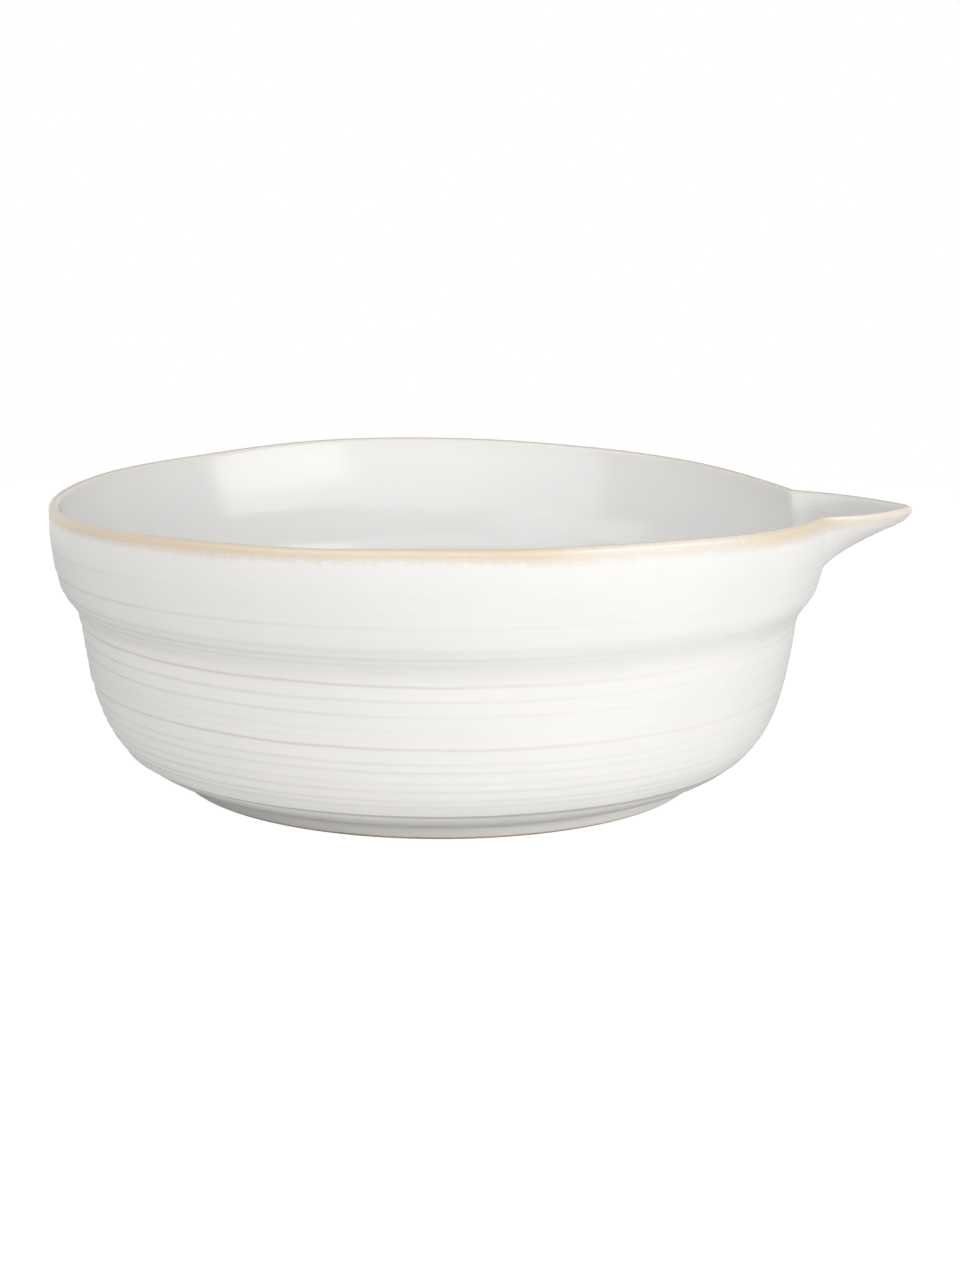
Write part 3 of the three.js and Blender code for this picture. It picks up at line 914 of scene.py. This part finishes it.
def foot_section(sizes):
    """The clay ring, with its lower edges rounded."""
    outer = foot_edge(sizes, 0.0) - sizes.glaze
    inner = sizes.foot_radius - coat(sizes) - sizes.foot_width - sizes.bond
    top = floor_top(sizes) - sizes.floor - sizes.bond
    bend = sizes.foot_round
    inside = arc((inner + bend, bend), bend, math.pi, 1.5 * math.pi, EDGE_ROWS)
    outside = arc((outer - bend, bend), bend, 1.5 * math.pi, 2 * math.pi, EDGE_ROWS)
    flat = resample(np.vstack([inside[-1], outside[0]]), ROW)
    wall = (outer + foot_edge(sizes, top) - sizes.foot_radius, top)
    outline = Outline()
    outline.add(np.vstack([inside, flat[1:-1], outside, wall, (inner, top)]))
    return outline


# Operators


class BOWL_OT_outer_coat(bpy.types.Operator):
    """Model the white glaze of the outside, from the foot over the rim to its lap inside"""

    bl_idname = "bowl.outer_coat"
    bl_label = "Outer Glaze"

    def execute(self, context):
        scene = context.scene
        colours = scene.bowl_finish
        section = outer_section(scene.bowl_sizes, scene.bowl_marks)
        piece = turn_piece(scene, "outer_coat", section, COLUMNS)
        finish = glaze_finish("white_glaze", colours, colours.glaze, colours.gloss)
        finish_piece(piece, finish, "white_glaze", "outer_glaze")
        return {"FINISHED"}


class BOWL_OT_inner_coat(bpy.types.Operator):
    """Model the glaze poured over the inside, from the outer coat's lap to the middle of the floor"""

    bl_idname = "bowl.inner_coat"
    bl_label = "Inner Glaze"

    def execute(self, context):
        colours = context.scene.bowl_finish
        piece = turn_piece(context.scene, "inner_coat", inner_section(context.scene.bowl_sizes), COLUMNS)
        # The liner's greyer white is painted shade for the inside
        finish = glaze_finish("liner_glaze", colours, colours.liner, colours.liner_gloss)
        finish_piece(piece, finish, "liner_glaze", "inner_glaze")
        return {"FINISHED"}


class BOWL_OT_base_coat(bpy.types.Operator):
    """Model the glaze inside the foot ring, pooled in its corner"""

    bl_idname = "bowl.base_coat"
    bl_label = "Base Glaze"

    def execute(self, context):
        colours = context.scene.bowl_finish
        piece = turn_piece(context.scene, "base_coat", base_section(context.scene.bowl_sizes), FOOT_COLUMNS)
        finish = glaze_finish("base_glaze", colours, colours.glaze, colours.gloss)
        finish_piece(piece, finish, "white_glaze", "base_glaze")
        return {"FINISHED"}


class BOWL_OT_foot(bpy.types.Operator):
    """Model the turned foot ring, whose lower edge is bare clay"""

    bl_idname = "bowl.foot"
    bl_label = "Foot Ring"

    def execute(self, context):
        piece = turn_piece(context.scene, "bare_foot", foot_section(context.scene.bowl_sizes), FOOT_COLUMNS)
        finish = clay_finish("bare_stoneware", context.scene.bowl_finish)
        finish_piece(piece, finish, "bare_stoneware", "foot_ring")
        return {"FINISHED"}


class BOWL_OT_clay(bpy.types.Operator):
    """Finish the thrown wall and the spout as bare clay under their coats"""

    bl_idname = "bowl.clay"
    bl_label = "Clay under the Glaze"

    def execute(self, context):
        finish = clay_finish("covered_stoneware", context.scene.bowl_finish)
        for name in ("bowl_body", "spout"):
            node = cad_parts[name]
            node.data.materials.clear()
            node.data.materials.append(finish)
        return {"FINISHED"}


class BOWL_OT_stage(bpy.types.Operator):
    """Set the pale floor, the soft lamps, the white surround and the camera"""

    bl_idname = "bowl.stage"
    bl_label = "Stage"

    def execute(self, context):
        stage = context.scene.bowl_stage
        make_floor(stage)
        make_surround(context.scene, stage)
        aim = Vector((stage.aim_x, 0.0, stage.aim_height))
        for name, place in LAMPS.items():
            lamp = add_lamp(name, getattr(stage, name), aim, place)
            lamp.visible_glossy = name != "back"  # the strip behind the bowl would spark along the rim
        add_camera(context.scene, stage, aim)
        context.scene.view_settings.view_transform = "Standard"
        return {"FINISHED"}


def make_floor(stage):
    """A wide pale floor that keeps the bowl's shadow and turns white away from it, with a mat of painted
    shade right under the bowl.
    """
    bpy.ops.object.select_all(action="DESELECT")
    bpy.ops.mesh.primitive_plane_add(size=stage.floor_size, location=(0.0, 0.0, 0.0))
    floor = bpy.context.object
    floor.name = "floor"
    bpy.ops.object.mode_set(mode="EDIT")
    bpy.ops.mesh.subdivide(number_cuts=3)
    bpy.ops.object.mode_set(mode="OBJECT")
    finish = Finish("pale_floor")
    x, y = finish.place(0) - AXIS_X, finish.place(1)
    away = finish.node("ShaderNodeMath", {"operation": "SQRT"}, {0: x * x + y * y})
    # Painted shade: the floor turns darker right under the bowl
    clear = finish.step(away / stage.painted_shade_mat_size, *PAINTED_SHADE_MAT_FADE)
    shade = finish.node("ShaderNodeBsdfDiffuse", {}, {"Color": finish.mix(clear, stage.mat, stage.floor)})
    white = finish.node("ShaderNodeEmission", {}, {"Strength": 1.0})
    shown = [part * stage.shadow for part in stage.floor]
    faint = finish.node("ShaderNodeBsdfDiffuse", {}, {"Color": paint(shown)})
    glow = finish.node("ShaderNodeEmission", {}, {"Strength": stage.glow})
    pale = finish.node("ShaderNodeAddShader", {}, {0: glow, 1: faint})
    straight = finish.node("ShaderNodeLightPath", {}, {}, output="Is Camera Ray")
    near = finish.node("ShaderNodeMixShader", {}, {0: straight, 1: shade, 2: pale})
    far = finish.node("ShaderNodeMixShader", {}, {0: finish.seen_rays(), 1: shade, 2: white})
    whole = finish.node("ShaderNodeMixShader", {}, {0: finish.step(away, *WHITE_FADE), 1: near, 2: far})
    finish.put(whole, finish.tree.nodes["Material Output"].inputs["Surface"])
    finish.tree.nodes.remove(finish.shader)
    floor.data.materials.append(finish.material)


def make_surround(scene, stage):
    """Even light from all round, which the camera and reflections see as white."""
    scene.world = bpy.data.worlds.new("white_surround")
    scene.world.use_nodes = True
    nodes = Nodes(scene.world.node_tree)
    background = nodes.tree.nodes["Background"]
    nodes.put(paint((1.0, 1.0, 1.0)), background.inputs["Color"])
    nodes.put(nodes.seen_rays() * (1 - stage.sky) + stage.sky, background.inputs["Strength"])


def around(aim, azimuth, elevation, distance):
    """A place round the bowl: azimuth to the right of the camera, elevation above level."""
    level = distance * math.cos(elevation)
    height = distance * math.sin(elevation)
    return aim + Vector((level * math.sin(azimuth), -level * math.cos(azimuth), height))


def add_lamp(name, power, aim, setting):
    """A soft box that faces the bowl."""
    azimuth, elevation, distance, width, height = setting
    place = around(aim, math.radians(azimuth), math.radians(elevation), distance)
    bpy.ops.object.light_add(type="AREA", location=place)
    lamp = bpy.context.object
    lamp.name = f"{name}_lamp"
    lamp.rotation_euler = (aim - place).to_track_quat("-Z", "Y").to_euler()
    lamp.data.shape = "RECTANGLE"
    lamp.data.size, lamp.data.size_y = width, height
    lamp.data.energy = power
    return lamp


def add_camera(scene, stage, aim):
    """The camera, at the photograph's angle."""
    place = around(aim, 0.0, stage.pitch, stage.distance)
    bpy.ops.object.camera_add(location=place)
    camera = bpy.context.object
    camera.name = "camera"
    level = (aim - place).to_track_quat("-Z", "Y")
    camera.rotation_euler = (level @ Quaternion((0.0, 0.0, 1.0), stage.roll)).to_euler()
    camera.data.lens = stage.lens
    camera.data.sensor_width = SENSOR_WIDTH
    scene.camera = camera


class VIEW3D_PT_bowl(bpy.types.Panel):
    """Steps and sizes of the bowl"""

    bl_label = "Spouted Bowl"
    bl_space_type = "VIEW_3D"
    bl_region_type = "UI"
    bl_category = "Bowl"

    def draw(self, context):
        for operator in OPERATORS:
            self.layout.operator(operator.bl_idname)
        for name in SETTINGS:
            group = getattr(context.scene, name)
            box = self.layout.box()
            for key in group.__annotations__:
                box.prop(group, key)


OPERATORS = (
    BOWL_OT_outer_coat,
    BOWL_OT_inner_coat,
    BOWL_OT_base_coat,
    BOWL_OT_foot,
    BOWL_OT_clay,
    BOWL_OT_stage,
)
SETTINGS = {
    "bowl_sizes": BowlSizes,
    "bowl_marks": ThrowingMarks,
    "bowl_finish": BowlFinish,
    "bowl_stage": StageSettings,
}


def register():
    for kind in (*SETTINGS.values(), *OPERATORS, VIEW3D_PT_bowl):
        bpy.utils.register_class(kind)
    for name, kind in SETTINGS.items():
        setattr(bpy.types.Scene, name, bpy.props.PointerProperty(type=kind))


def unregister():
    for name in SETTINGS:
        delattr(bpy.types.Scene, name)
    for kind in (VIEW3D_PT_bowl, *reversed(OPERATORS), *SETTINGS.values()):
        bpy.utils.unregister_class(kind)


def main():
    register()
    bpy.ops.bowl.outer_coat()
    bpy.ops.bowl.inner_coat()
    bpy.ops.bowl.base_coat()
    bpy.ops.bowl.foot()
    bpy.ops.bowl.clay()
    bpy.ops.bowl.stage()


if __name__ == "__main__":
    main()
